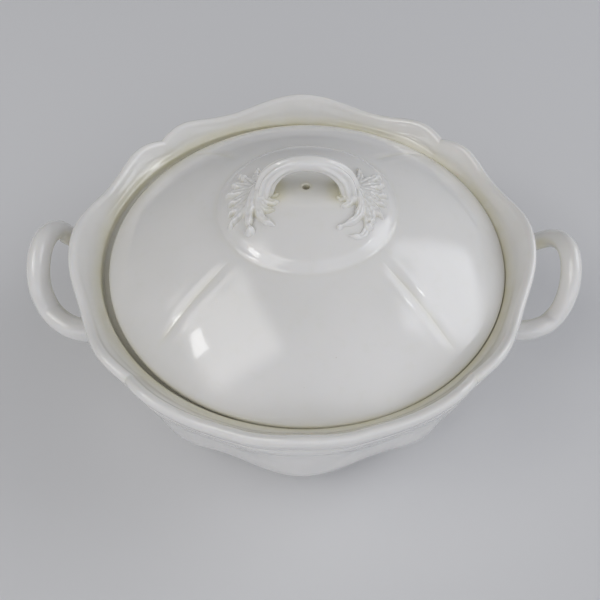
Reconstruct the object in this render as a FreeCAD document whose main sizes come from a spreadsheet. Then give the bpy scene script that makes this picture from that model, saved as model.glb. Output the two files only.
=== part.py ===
import FreeCAD, Part
import Sketcher
import math
import os

# Covered casserole dish in glazed earthenware: a lobed bowl with two loop handles, and a domed
# lid with an arched finial between two leaf sprays.
# Frame: origin at the centre of the foot ring's underside, +Z up, +X towards the right-hand
# loop handle, +Y towards the back. All sizes are in millimetres, angles in degrees.

Vector = FreeCAD.Vector
Placement = FreeCAD.Placement
Rotation = FreeCAD.Rotation
UP = Vector(0, 0, 1)

# ---------------------------------------------------------------- driving dimensions
# A text value is a spreadsheet formula.
SIZES = [
    # bowl: foot ring
    ("foot_outer", 83.0), ("foot_inner", 78.0), ("foot_chamfer", 0.8), ("foot_top", 6.4),
    ("foot_flare_out", 1.0), ("foot_flare_in", 1.6),
    # bowl: floor disc
    ("foot_recess", 4.2), ("floor_top", 8.4), ("floor_disc", 66.0), ("floor_rim", 72.0),
    ("floor_rim_z", 6.2), ("floor_edge_drop", 0.35), ("floor_slope_width", 12.0),
    # bowl: heights
    ("seat_level", 73.0), ("rim_level", 90.7), ("lobe_depth", 5.1),
    # bowl: radii and wall
    ("rim_radius", 123.8), ("belly_radius", 111.2), ("seat_wall", 111.5), ("seat_inner", 99.5),
    ("wall_thick", 6.4), ("flute_depth", 1.0), ("lip_thick", 5.4),
    # bowl: inner end of the wall, inside the floor disc
    ("toe_radius", 60.0), ("toe_top", 7.6), ("toe_low", 4.8),
    # side handles: poles from the top of the loop down to the root
    ("loop_top_x", 146.5), ("loop_top_z", 80.4),
    ("loop_high_x", 145.4), ("loop_high_y", 21.3), ("loop_high_z", 68.1),
    ("loop_side_x", 141.9), ("loop_side_y", 26.6), ("loop_side_z", 53.8),
    ("loop_knee_x", 136.0), ("loop_knee_y", 31.3), ("loop_knee_z", 51.0),
    ("loop_leg_x", 124.5), ("loop_leg_y", 37.3), ("loop_leg_z", 49.8),
    ("loop_foot_x", 114.0), ("loop_foot_y", 32.7), ("loop_foot_z", 43.4),
    ("loop_root_x", 102.0), ("loop_root_y", 30.1), ("loop_root_z", 40.8),
    # side handles: half widths of the rod, and the cone that trims its roots
    ("loop_sec_flat", 5.5), ("loop_sec_tall", 5.3), ("root_low_r", 103.4), ("root_high_r", 110.6),
    ("root_cone_base", 14.0), ("root_cone_height", 50.0),
    # lid: shift along X, edge and dome
    ("lid_shift", 2.4), ("lid_radius", 108.0), ("lid_edge_low", 74.6), ("lid_edge_high", 76.8),
    ("lid_gap", 0.05), ("lid_under", "=seat_level + lid_gap"), ("lid_under_r", 106.4),
    ("lid_brow_r", 106.6), ("lid_brow_z", 78.6),
    # lid: round boss
    ("boss_foot_r", 46.0), ("boss_foot_z", 109.5), ("boss_edge_r", 43.6),
    ("boss_edge_z", 112.5), ("boss_top", 121.7),
    # lid: flange and inner face
    ("flange_out", 95.2), ("flange_in", 90.4), ("flange_low", 66.5), ("flange_taper", 0.8),
    ("flange_nose_out", "=flange_out - flange_taper"),
    ("flange_nose_in", "=flange_in + flange_taper"), ("flange_nose", 65.6),
    ("lid_in_r", 90.2), ("lid_in_z", 81.0), ("lid_in_top", 113.6),
    ("steam_hole", 1.8), ("steam_reach", 200.0),
    # finial arch
    ("arch_radius", 20.8), ("arch_level", 115.6), ("arch_sec_x", 4.1), ("arch_sec_y", 3.9),
    # leaflet: distances along it, and half widths
    ("leaf_root", 2.5), ("leaf_neck", 1.3), ("leaf_belly_x", 8.5), ("leaf_belly", 2.35),
    ("leaf_taper_x", 12.5), ("leaf_taper", 1.8), ("leaf_tip", 15.5), ("leaf_point", 0.5),
    # leaf spray: fan, place and calyx
    ("fan_angle", 190.0), ("fan_leaves", 9), ("spray_radius", 23.0), ("spray_slope", 13.0),
    ("spray_level", 119.4), ("calyx_radius", 6.6), ("calyx_low", -2.4), ("calyx_top", 3.0),
    ("calyx_mid_r", 3.4), ("calyx_mid_z", 2.5), ("calyx_edge_r", 5.6), ("calyx_edge_z", 1.0),
]

doc = FreeCAD.newDocument("covered_casserole")
sheet = doc.addObject("Spreadsheet::Sheet", "sizes")
for row, (alias, value) in enumerate(SIZES, start=1):
    sheet.set("A%d" % row, alias.replace("_", " "))
    sheet.set("B%d" % row, str(value))
    sheet.setAlias("B%d" % row, alias)
doc.recompute()


def size(alias):
    return float(sheet.get(alias))


# ---------------------------------------------------------------- sketch and body helpers
def origin_feature(body, role):
    return [f for f in body.Origin.OriginFeatures if f.Role == role][0]


def new_sketch(body, name, role):
    sketch = body.newObject("Sketcher::SketchObject", name)
    sketch.AttachmentSupport = [(origin_feature(body, role), "")]
    sketch.MapMode = "FlatFace"
    return sketch


def dimension(sketch, alias, *target):
    """Add a dimension to the sketch, driven by the sheet; target: constraint kind and points."""
    index = sketch.addConstraint(Sketcher.Constraint(*target, size(alias)))
    sketch.setExpression("Constraints[%d]" % index, "sizes." + alias)


def axis_arc(a, b):
    """Arc between two points about a centre on the vertical axis, below both of them.

    It is stored anticlockwise, so it starts at the point further from the axis."""
    centre_y = (a.x * a.x + a.y * a.y - b.x * b.x - b.y * b.y) / (2.0 * (a.y - b.y))
    start, end = (b, a) if b.x > a.x else (a, b)
    circle = Part.Circle(Vector(0, centre_y, 0), UP, math.hypot(a.x, a.y - centre_y))
    return Part.ArcOfCircle(circle, math.atan2(start.y - centre_y, start.x),
                            math.atan2(end.y - centre_y, end.x))


def profile(body, name, role, corners, bends=()):
    """Closed outline. corners: (x alias, y alias) pairs, 0 for the axis. bends: numbers of the
    edges that are arcs centred on the vertical axis, which turn into parts of a sphere."""
    sketch = new_sketch(body, name, role)
    points = [Vector(size(ax) if ax else 0.0, size(ay) if ay else 0.0, 0) for ax, ay in corners]
    count = len(points)
    ends = []   # sketch point numbers of each edge's first and last corner
    for i in range(count):
        a, b = points[i], points[(i + 1) % count]
        edge = axis_arc(a, b) if i in bends else Part.LineSegment(a, b)
        sketch.addGeometry(edge, False)
        ends.append((2, 1) if i in bends and b.x > a.x else (1, 2))

    for i in range(count):
        j = (i + 1) % count
        sketch.addConstraint(Sketcher.Constraint("Coincident", i, ends[i][1], j, ends[j][0]))
    for i, pair in enumerate(corners):
        corner = ends[i][0]
        # a corner with no x lies on the vertical axis (-2), one with no y on the horizontal (-1)
        for kind, alias, axis in (("DistanceX", pair[0], -2), ("DistanceY", pair[1], -1)):
            if alias:
                dimension(sketch, alias, kind, -1, 1, i, corner)
            else:
                sketch.addConstraint(Sketcher.Constraint("PointOnObject", i, corner, axis))
    for i in bends:
        sketch.addConstraint(Sketcher.Constraint("PointOnObject", i, 3, -2))
    return sketch


def revolve(body, name, sketch, axis):
    """Turn the sketch once round its own axis, "V_Axis" or "H_Axis"."""
    doc.recompute()
    turned = body.newObject("PartDesign::Revolution", name)
    turned.Profile = sketch
    turned.ReferenceAxis = (sketch, [axis])
    turned.Angle = 360
    body.Tip = turned
    doc.recompute()
    return turned


def shift_with_lid(body):
    body.Placement = Placement(Vector(size("lid_shift"), 0, 0), Rotation())
    body.setExpression("Placement.Base.x", "sizes.lid_shift")


# ---------------------------------------------------------------- bowl
# Four equal quarters run from one V-shaped corner notch to the next. Within a quarter the wall
# swells at the middle (big lobe), dips, and swells again next to the notch (small lobe). The rim
# rises and falls with the lobes.
# The next three tables hold (angle from the middle of the quarter, value) pairs.

# rim radius less rim_radius
RIM_SWING = [
    (0, -1.05), (6, -1.15), (11, -1.89), (16, -3.1), (20, -3.6), (24, -3.45), (28, -2.9),
    (32, -2.2), (36, -1.78), (39, -2.0), (42, -2.7), (45, -3.7)]
# rim height above rim_level, as a share of lobe_depth
RIM_RISE = [
    (0, 0.343), (6, 0.088), (11, -0.333), (16, -0.698), (20, -0.941), (24, -1.0), (28, -0.863),
    (32, -0.520), (36, -0.225), (39, -0.196), (42, -0.412), (45, -0.775)]
# swell of the wall, as a multiple of flute_depth
FLUTE = [
    (0, 2.55), (5, 1.9), (10, 0.55), (15, -0.95), (20, -1.95), (24, -2.0), (28, -1.2),
    (32, 0.55), (35, 1.6), (38, 2.1), (41, 1.8), (45, 0.75)]

# outer face from the foot up: radius from belly_radius, share of the flute, height
OUTER_WALL = [
    (-25.2, 0.0, 5.0), (-18.6, 0.2, 6.9), (-11.4, 0.5, 11.5), (-5.9, 0.8, 18.5),
    (-2.2, 1.0, 28.0), (0.0, 1.0, 40.0), (1.7, 1.0, 52.0)]
# outer face of the rim roll: radius from the rim's radius, height from the rim's height
RIM_ROLL = [(-3.7, -12.3), (-1.75, -9.6), (-0.3, -5.2), (0.0, -3.0), (-0.5, -1.2), (-2.5, 0.0)]
# inner face from the ledge down: radius from belly_radius less the wall, height
CAVITY = [
    (1.5, 52.0), (-0.2, 40.0), (-2.6, 28.0), (-6.9, 18.5), (-14.0, 12.2), (-23.0, 9.0),
    (-35.0, 7.9)]
# angles of the loft sections over half a quarter
HALF_ANGLES = [0.0, 5.0, 10.0, 15.0, 20.0, 24.0, 28.0, 32.0, 35.0, 38.0, 40.5, 42.8, 45.0]
NOTCH_STEEPENING = 1.25   # slope at the notch, over the slope of the table's last step


def smooth_value(table, angle):
    """Cubic through (angle, value) pairs, level at the big lobe and steepened at the notch."""
    last = len(table) - 1

    def slope(low, high):
        return (table[high][1] - table[low][1]) / (table[high][0] - table[low][0])

    slopes = [0.0] + [slope(i - 1, i + 1) for i in range(1, last)]
    slopes.append(slope(last - 1, last) * NOTCH_STEEPENING)
    i = 0
    while i < last - 1 and angle > table[i + 1][0]:
        i += 1
    span = table[i + 1][0] - table[i][0]
    u = (angle - table[i][0]) / span
    return ((2 * u ** 3 - 3 * u * u + 1) * table[i][1]
            + (u ** 3 - 2 * u * u + u) * span * slopes[i]
            + (3 * u * u - 2 * u ** 3) * table[i + 1][1]
            + (u ** 3 - u * u) * span * slopes[i + 1])


def wall_section(angle):
    """Closed wall outline at an angle from the middle of a quarter, standing on the foot."""
    rim_r = size("rim_radius") + smooth_value(RIM_SWING, abs(angle))
    rim_z = size("rim_level") + size("lobe_depth") * smooth_value(RIM_RISE, abs(angle))
    flute = size("flute_depth") * smooth_value(FLUTE, abs(angle))
    belly = size("belly_radius")
    seat = size("seat_level")
    seat_wall = size("seat_wall")
    seat_inner = size("seat_inner")
    lip_r = rim_r - size("lip_thick")
    lip_z = rim_z - 3.4
    cavity_r = belly - size("wall_thick")
    cosine = math.cos(math.radians(angle))
    sine = math.sin(math.radians(angle))

    def place(stations):
        return [Vector(r * cosine, r * sine, z) for r, z in stations]

    def smooth_edge(stations):
        curve = Part.BSplineCurve()
        curve.interpolate(place(stations))
        return [curve.toShape()]

    def straight_edges(stations):
        points = place(stations)
        return [Part.makeLine(a, b) for a, b in zip(points[:-1], points[1:])]

    # the neck under the rim roll lies midway between the flaring wall and the rim
    neck = 0.5 * (belly + 5.8 + 0.95 * flute) + 0.5 * (rim_r - 3.6)
    outer = [(belly + dr + share * flute, z) for dr, share, z in OUTER_WALL]
    outer += [
        (0.35 * (belly + 3.6 + 0.95 * flute) + 0.65 * (neck - 1.6), rim_z - 25.0),
        (neck - 0.45, rim_z - 20.0), (neck + 0.3, rim_z - 16.4)]
    outer += [(rim_r + dr, rim_z + dz) for dr, dz in RIM_ROLL]

    lip = [
        outer[-1], (lip_r + 0.8, rim_z - 1.5), (lip_r, lip_z),
        (0.62 * (lip_r - 1.3) + 0.38 * (seat_wall + 0.6), 0.62 * lip_z + 0.38 * (seat + 3.4)),
        (seat_wall + 0.45, seat + 4.4), (seat_wall, seat + 1.6)]
    cavity = [(seat_inner + 3.4, seat - 8.5)]
    cavity += [(cavity_r + dr, z) for dr, z in CAVITY]
    cavity.append((size("toe_radius"), size("toe_top")))
    # the ledge that carries the lid, with both its corners bevelled
    ledge = [
        lip[-1], (seat_wall - 0.9, seat), (seat_inner + 0.8, seat), (seat_inner, seat - 0.8),
        (seat_inner, seat - 3.0), cavity[0]]
    toe = [cavity[-1], (size("toe_radius"), size("toe_low")), outer[0]]
    return Part.Wire(smooth_edge(outer) + smooth_edge(lip) + straight_edges(ledge)
                     + smooth_edge(cavity) + straight_edges(toe))


def turned_solid(stations):
    """Solid of a closed (radius, height) outline turned about the bowl's axis."""
    points = [Vector(r, 0, z) for r, z in stations]
    face = Part.Face(Part.makePolygon(points + [points[0]]))
    return face.revolve(Vector(0, 0, 0), UP, 360)


def floor_disc():
    top, radius, recess = size("floor_top"), size("floor_disc"), size("foot_recess")
    return turned_solid([
        (0, recess), (radius, recess), (size("floor_rim"), size("floor_rim_z")),
        (radius, top - size("floor_edge_drop")), (radius - size("floor_slope_width"), top),
        (0, top)])


def foot_ring():
    outer, inner = size("foot_outer"), size("foot_inner")
    chamfer, top = size("foot_chamfer"), size("foot_top")
    return turned_solid([
        (inner + chamfer, 0), (outer - chamfer, 0), (outer, chamfer),
        (outer + size("foot_flare_out"), top), (inner - size("foot_flare_in"), top),
        (inner, chamfer)])


def make_bowl():
    angles = [-step for step in reversed(HALF_ANGLES[1:])] + HALF_ANGLES
    quarter = Part.makeLoft([wall_section(angle) for angle in angles], True, False)
    if quarter.Volume < 0:
        quarter.reverse()
    quarters = []
    for k in range(4):
        turned = quarter.copy()
        turned.rotate(Vector(0, 0, 0), UP, 90.0 * k)
        quarters.append(turned)
    shell = quarters[0].fuse(quarters[1:] + [floor_disc(), foot_ring()])
    # the fusion may come back as a compound round its one solid
    if len(shell.Solids) == 1:
        shell = shell.Solids[0]
    bowl = doc.addObject("Part::Feature", "bowl")
    bowl.Shape = shell
    bowl.Label = "dish_bowl"
    return bowl


# ---------------------------------------------------------------- side handles
def make_handle(name, label, turn):
    """Rod of oval section that rises outwards from the wall, forms a high loop and comes back.
    Both roots are let into the wall and trimmed inside it by a cone."""
    half = [Vector(size("loop_top_x"), 0, size("loop_top_z"))]
    for spot in ("high", "side", "knee", "leg", "foot", "root"):
        half.append(Vector(*[size("loop_%s_%s" % (spot, axis)) for axis in "xyz"]))
    poles = [Vector(p.x, -p.y, p.z) for p in reversed(half[1:])] + half
    curve = Part.BSplineCurve()
    curve.buildFromPoles(poles, False, 3)

    # oval square to the curve at its start
    start = curve.value(curve.FirstParameter)
    tangent = curve.tangent(curve.FirstParameter)[0]
    across = tangent.cross(UP).normalize()
    upward = across.cross(tangent).normalize()
    oval = Part.Ellipse(start + across * size("loop_sec_flat"),
                        start + upward * size("loop_sec_tall"), start)
    solid = Part.Wire([curve.toShape()]).makePipeShell([Part.Wire([oval.toShape()])], True, False)
    if solid.Volume < 0:
        solid.reverse()
    rod = doc.addObject("Part::Feature", name + "_rod")
    rod.Shape = solid
    rod.Placement = Placement(Vector(0, 0, 0), Rotation(UP, turn))

    core = doc.addObject("Part::Cone", name + "_core")
    core.setExpression("Radius1", "sizes.root_low_r")
    core.setExpression("Radius2", "sizes.root_high_r")
    core.setExpression("Height", "sizes.root_cone_height")
    core.Placement = Placement(Vector(0, 0, size("root_cone_base")), Rotation())
    trimmed = doc.addObject("Part::Cut", name)
    trimmed.Base = rod
    trimmed.Tool = core
    trimmed.Label = label
    return trimmed


# ---------------------------------------------------------------- lid
# Corners from the top of the boss outwards, round the edge and back along the inner face.
LID_CORNERS = [
    (0, "boss_top"), ("boss_edge_r", "boss_edge_z"), ("boss_foot_r", "boss_foot_z"),
    ("lid_brow_r", "lid_brow_z"), ("lid_radius", "lid_edge_high"), ("lid_radius", "lid_edge_low"),
    ("lid_under_r", "lid_under"), ("flange_out", "lid_under"), ("flange_out", "flange_low"),
    ("flange_nose_out", "flange_nose"), ("flange_nose_in", "flange_nose"),
    ("flange_in", "flange_low"), ("lid_in_r", "lid_in_z"), (0, "lid_in_top"),
]
LID_BENDS = (0, 2, 12)   # top of the boss, outside of the dome, inside of the dome


def make_lid():
    """Turned dome with a raised round boss, a flat under-edge over the bowl's ledge and a round
    flange that drops inside the ledge. A steam hole goes through its middle."""
    lid = doc.addObject("PartDesign::Body", "lid")
    lid.Label = "lid_shell"
    outline = profile(lid, "lid_outline", "XZ_Plane", LID_CORNERS, LID_BENDS)
    revolve(lid, "dome", outline, "V_Axis")

    hole = new_sketch(lid, "steam_outline", "XY_Plane")
    hole.addGeometry(Part.Circle(Vector(0, 0, 0), UP, size("steam_hole")), False)
    hole.addConstraint(Sketcher.Constraint("Coincident", 0, 3, -1, 1))
    dimension(hole, "steam_hole", "Radius", 0)
    doc.recompute()
    uncut_volume = lid.Shape.Volume
    vent = lid.newObject("PartDesign::Pocket", "steam_vent")
    vent.Profile = hole
    vent.Type = 0
    vent.setExpression("Length", "sizes.steam_reach")
    vent.Reversed = True   # upwards: the lid lies above the sketch
    lid.Tip = vent
    doc.recompute()
    if lid.Shape.Volume >= uncut_volume - 1:
        raise SystemExit("the steam hole cuts nothing")
    shift_with_lid(lid)
    return lid


# ---------------------------------------------------------------- finial arch
def make_arch():
    """Half ring of oval section standing on the boss, in the XZ plane."""
    arch = doc.addObject("PartDesign::Body", "arch")
    arch.Label = "finial_loop"
    radius, level = size("arch_radius"), size("arch_level")
    path = new_sketch(arch, "arch_path", "XZ_Plane")
    circle = Part.Circle(Vector(0, level, 0), UP, radius)
    path.addGeometry(Part.ArcOfCircle(circle, 0, math.pi), False)
    path.addConstraint(Sketcher.Constraint("PointOnObject", 0, 3, -2))
    dimension(path, "arch_level", "DistanceY", -1, 1, 0, 3)
    dimension(path, "arch_radius", "Radius", 0)
    path.addConstraint(Sketcher.Constraint("Horizontal", 0, 1, 0, 3))
    path.addConstraint(Sketcher.Constraint("Horizontal", 0, 2, 0, 3))

    # the oval's long axis lies along X, so arch_sec_x has to be the larger half width
    oval = new_sketch(arch, "arch_section", "XY_Plane")
    oval.addGeometry(Part.Ellipse(Vector(size("arch_sec_x"), 0, 0),
                                  Vector(0, size("arch_sec_y"), 0), Vector(0, 0, 0)), False)
    oval.AttachmentOffset = Placement(Vector(radius, 0, level), Rotation())
    oval.setExpression(".AttachmentOffset.Base.x", "sizes.arch_radius")
    oval.setExpression(".AttachmentOffset.Base.z", "sizes.arch_level")
    doc.recompute()
    pipe = arch.newObject("PartDesign::AdditivePipe", "arch_pipe")
    pipe.Profile = oval
    pipe.Spine = (path, ["Edge1"])
    pipe.Mode = "Frenet"
    arch.Tip = pipe
    shift_with_lid(arch)
    return arch


# ---------------------------------------------------------------- leaf sprays
CALYX_CORNERS = [
    (0, "calyx_top"), ("calyx_mid_r", "calyx_mid_z"), ("calyx_edge_r", "calyx_edge_z"),
    ("calyx_radius", "calyx_low"), (0, "calyx_low")]
LEAF_CORNERS = [
    ("leaf_root", 0), ("leaf_root", "leaf_neck"), ("leaf_belly_x", "leaf_belly"),
    ("leaf_taper_x", "leaf_taper"), ("leaf_tip", "leaf_point"), ("leaf_tip", 0)]


def make_spray(name, label, turn):
    """Domed calyx at a foot of the arch, with pointed leaflets fanned down the boss's slope.
    One leaflet is turned about its own length and repeated round the calyx."""
    body = doc.addObject("PartDesign::Body", name)
    body.Label = label
    calyx = profile(body, name + "_calyx", "XZ_Plane", CALYX_CORNERS)
    revolve(body, name + "_button", calyx, "V_Axis")
    blade = profile(body, name + "_blade", "XY_Plane", LEAF_CORNERS)
    leaf = revolve(body, name + "_leaf", blade, "H_Axis")

    one_leaf_volume = body.Shape.Volume
    fan = body.newObject("PartDesign::PolarPattern", name + "_fan")
    fan.Originals = [leaf]
    fan.Axis = (origin_feature(body, "Z_Axis"), [""])
    fan.Angle = size("fan_angle")
    fan.Occurrences = int(size("fan_leaves"))
    fan.setExpression("Angle", "sizes.fan_angle")
    fan.setExpression("Occurrences", "sizes.fan_leaves")
    body.Tip = fan
    doc.recompute()
    if body.Shape.Volume < one_leaf_volume + 1:
        raise SystemExit(label + ": the fan repeats no leaflet")

    # centre the fan on +X, tip it down the slope, then face it outwards
    face_out = Rotation(UP, turn)
    tip_down = Rotation(Vector(0, 1, 0), size("spray_slope"))
    centre_fan = Rotation(UP, -0.5 * size("fan_angle"))
    foot = face_out.multVec(Vector(size("spray_radius"), 0, 0))
    body.Placement = Placement(Vector(size("lid_shift") + foot.x, foot.y, size("spray_level")),
                               face_out.multiply(tip_down).multiply(centre_fan))
    return body


# ---------------------------------------------------------------- build and export
pieces = [
    make_bowl(),
    make_handle("loop_right", "handle_right", 0.0),
    make_handle("loop_left", "handle_left", 180.0),
    make_lid(),
    make_arch(),
    make_spray("spray_right", "leaf_spray_right", 0.0),
    make_spray("spray_left", "leaf_spray_left", 180.0),
]
doc.recompute()

for obj in doc.Objects:
    if "Invalid" in obj.State or "Error" in obj.State:
        raise SystemExit("%s did not build: %s" % (obj.Label, obj.State))
for piece in pieces:
    shape = piece.Shape
    if shape.isNull() or not shape.isValid() or not shape.Solids or shape.Volume <= 0:
        raise SystemExit("%s is not a sound solid" % piece.Label)

os.makedirs("parts", exist_ok=True)
for piece in pieces:
    piece.Shape.exportStep("parts/%s.step" % piece.Label)
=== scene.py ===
"""A lidded tureen of glossy cream earthenware.

It stands on z = 0, centred on the Z axis. Its front faces -Y and its two handles stand out along
X, the right one at +X. The bowl and the lid each have four lobes, on the axes, that meet in
creases near the diagonals. A loop between two leaf sprays crowns the lid.
Shapes are modelled in millimetres, and light, camera and textures are set in metres.
"""
import bpy
import math
import numpy as np
from mathutils import Vector, Matrix


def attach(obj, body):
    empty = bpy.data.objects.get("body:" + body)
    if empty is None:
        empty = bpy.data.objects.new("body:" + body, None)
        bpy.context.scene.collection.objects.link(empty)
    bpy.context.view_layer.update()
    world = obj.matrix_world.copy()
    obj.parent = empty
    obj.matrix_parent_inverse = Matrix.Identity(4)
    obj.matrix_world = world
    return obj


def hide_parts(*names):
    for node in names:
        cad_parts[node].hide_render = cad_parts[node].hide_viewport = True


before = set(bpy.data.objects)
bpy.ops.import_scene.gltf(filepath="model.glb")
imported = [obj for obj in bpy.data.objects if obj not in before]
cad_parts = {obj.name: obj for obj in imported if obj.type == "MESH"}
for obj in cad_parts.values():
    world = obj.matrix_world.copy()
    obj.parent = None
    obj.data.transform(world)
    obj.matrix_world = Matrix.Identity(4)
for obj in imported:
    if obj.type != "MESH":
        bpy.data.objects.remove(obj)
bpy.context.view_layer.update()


MM = 0.001
RIGHT, LEFT = 1, -1

# ------------------------------------------------------------------ curves
# Outline of a lobe: (degrees from the lobe's middle, mm added to the radius or height)
RIM_RADIUS = [(0, -1.05), (6, -1.15), (11, -1.89), (16, -3.1), (20, -3.6), (24, -3.45),
              (28, -2.9), (32, -2.2), (36, -1.78), (39, -2.0), (42, -2.7), (45, -3.7)]
RIM_HEIGHT = [(0, 1.75), (6, 0.45), (11, -1.7), (16, -3.56), (20, -4.8), (24, -5.1),
              (28, -4.4), (32, -2.65), (36, -1.15), (39, -1.0), (42, -2.1), (45, -3.95)]
BELLY_FLUTE = [(0, 2.55), (5, 1.9), (10, 0.55), (15, -0.95), (20, -1.95), (24, -2.0),
               (28, -1.2), (32, 0.55), (35, 1.6), (38, 2.1), (41, 1.8), (45, 0.75)]

# Directions of the creases, in degrees from +X. The hand-finished bowl's aren't quite square.
LID_CORNERS = (45.0, 135.0, 225.0, 315.0)
BOWL_CORNERS = (42.9, 137.9, 228.6, 312.4)


def smooth(start, end, value):
    share = np.clip((np.asarray(value, float) - start) / (end - start), 0.0, 1.0)
    return share * share * (3 - 2 * share)


def bell(value, centre, width):
    return np.exp(-((value - centre) / width) ** 2)


def hermite(share, start, end, start_slope, end_slope):
    return ((2 * share ** 3 - 3 * share ** 2 + 1) * start
            + (share ** 3 - 2 * share ** 2 + share) * start_slope
            + (3 * share ** 2 - 2 * share ** 3) * end + (share ** 3 - share ** 2) * end_slope)


def lobe_curve(table, angle):
    """Smooth curve through the table, level at the lobe's middle and free at the crease."""
    x, y = np.array(table, float).T
    slope = np.zeros(len(x))
    slope[1:-1] = (y[2:] - y[:-2]) / (x[2:] - x[:-2])
    slope[-1] = (y[-1] - y[-2]) / (x[-1] - x[-2]) * 1.25
    i = np.clip(np.searchsorted(x, angle, side="right") - 1, 0, len(x) - 2)
    step = x[i + 1] - x[i]
    return hermite((angle - x[i]) / step, y[i], y[i + 1], step * slope[i], step * slope[i + 1])


def lid_fold(degrees):
    """Angle from the nearest lobe's middle, 0 to 45 degrees."""
    return np.abs(np.mod(np.asarray(degrees, float) + 45.0, 90.0) - 45.0)


def bowl_fold(degrees):
    """As lid_fold, stretched to fit between the bowl's own corners."""
    degrees = np.mod(np.asarray(degrees, float), 360.0)
    corners = np.array([BOWL_CORNERS[-1] - 360.0, *BOWL_CORNERS, BOWL_CORNERS[0] + 360.0])
    k = np.clip(np.searchsorted(corners, degrees, side="right") - 1, 0, 4)
    low, high = corners[k], corners[k + 1]
    return np.abs((degrees - 0.5 * (low + high)) / (0.5 * (high - low)) * 45.0)


def catmull(controls, samples):
    """Centripetal curve through controls [K, ..., d], with the given samples in each span."""
    def root_length(span, least=1e-3):
        return np.maximum(np.linalg.norm(span, axis=-1, keepdims=True) ** 0.5, least)

    last = len(controls) - 1
    points = []
    for i in range(last):
        start, end = controls[i], controls[i + 1]
        before = controls[i - 1] if i > 0 else start + (start - end)
        after = controls[i + 2] if i + 2 <= last else end + (end - start)
        gap = root_length(end - start, 0.0) + 1e-9
        gap_before = root_length(start - before)
        gap_after = root_length(after - end)
        start_slope = ((start - before) / gap_before - (end - before) / (gap_before + gap)
                       + (end - start) / gap) * gap
        end_slope = ((end - start) / gap - (after - start) / (gap + gap_after)
                     + (after - end) / gap_after) * gap
        for j in range(samples[i]):
            points.append(hermite(j / samples[i], start, end, start_slope, end_slope))
    points.append(controls[-1])
    return np.array(points)


# ------------------------------------------------------------------ mesh helpers
def make_mesh(name, verts, faces, pool_and_shade, bare=0.0):
    """Smooth object from vertices in mm. pool_and_shade: glaze and painted shade; bare: unglazed
    clay.
    """
    mesh = bpy.data.meshes.new(name)
    mesh.from_pydata([tuple(v) for v in np.asarray(verts, float) * MM], [],
                     [tuple(int(i) for i in face) for face in faces])
    mesh.validate(verbose=False)
    mesh.update()
    for key, values in (("pool_and_shade", np.clip(pool_and_shade, 0, 1)), ("bare", bare)):
        attribute = mesh.attributes.new(key, "FLOAT", "POINT")
        attribute.data.foreach_set("value", np.full(len(verts), values, np.float32))
    mesh.polygons.foreach_set("use_smooth", [True] * len(mesh.polygons))
    mesh.update()
    obj = bpy.data.objects.new(name, mesh)
    # shadows follow the smooth surface, not its facets
    obj.cycles.shadow_terminator_offset = 0.05
    obj.cycles.shadow_terminator_geometry_offset = 0.3
    bpy.context.scene.collection.objects.link(obj)
    return obj


def column_angles(corners):
    """Directions of a turned mesh's columns, in degrees: every half degree, closer at corners."""
    offsets = np.array([-1.75, -1.25, -0.75, -0.25, -0.12, 0, 0.12, 0.25, 0.75, 1.25, 1.75])
    near = [corner + offsets for corner in corners]
    return np.unique(np.round(np.concatenate([np.arange(0.0, 360.0, 0.5), *near]), 4))


def rings(stations, count):
    """(radius, height) stations, each a number or one value per column, as [station, column, 2]."""
    full = [[np.full(count, value) for value in station] for station in stations]
    return np.array(full).transpose(0, 2, 1)


def by_column(x, y, z):
    """Vertices from [station, column] arrays, one column after the other."""
    return np.stack([x, y, z], -1).transpose(1, 0, 2).reshape(-1, 3)


def grid_faces(columns, rows, wrap_rows=False):
    """Quads between the columns of a turned mesh, vertex index = column * rows + row."""
    column, row = np.meshgrid(np.arange(columns), np.arange(rows if wrap_rows else rows - 1),
                              indexing="ij")
    next_column, next_row = (column + 1) % columns, (row + 1) % rows
    return np.stack([column * rows + row, next_column * rows + row,
                     next_column * rows + next_row, column * rows + next_row], -1).reshape(-1, 4)


# ------------------------------------------------------------------ bowl
RIM_R, RIM_Z = 123.8, 90.7      # before the lobes' outline is added
BELLY_R = 111.2
SEAT_Z = 73.0                   # ledge that the lid rests on
LIP = 5.4                       # width of the lip's top
WALL = 6.4
FLOOR_Z, UNDERSIDE_Z = 8.4, 4.2


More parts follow.
